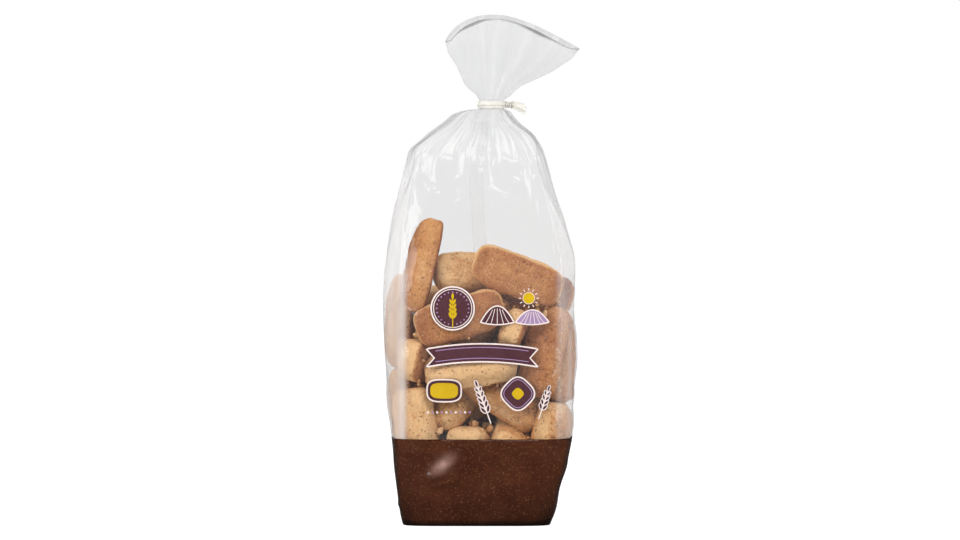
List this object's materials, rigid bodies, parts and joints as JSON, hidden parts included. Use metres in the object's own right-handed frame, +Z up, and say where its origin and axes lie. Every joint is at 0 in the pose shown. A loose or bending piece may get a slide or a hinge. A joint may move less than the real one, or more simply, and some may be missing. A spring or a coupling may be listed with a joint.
{
  "type": "clear bag of wholemeal shortbread biscuits",
  "caption": "Clear gusseted film bag of oblong shortbread biscuits, with a dark printed foot, standing upright and closed by a twist tie below its fanned-out top.",
  "frame": {"origin": "bottom centre: under the middle of the bag, on the surface it stands on", "axes": "+X to the bag's right as seen from the front, +Y towards its back, +Z up; the printed front faces -Y"},
  "size_m": [0.1289, 0.0802, 0.3323],
  "materials": {
    "clear_film": "clear, glossy, softly wrinkled plastic film",
    "printed_film": "opaque dark brown speckled print inside glossy film",
    "print_ink": "flat ink on glossy film",
    "biscuit": "dry, matt, sandy crust with bran flecks",
    "tie_strip": "satin cream plastic strip over a thin wire"
  },
  "bodies": {
    "root": {"bag": "clear_film", "tie": "tie_strip"}
  },
  "joints": []
}
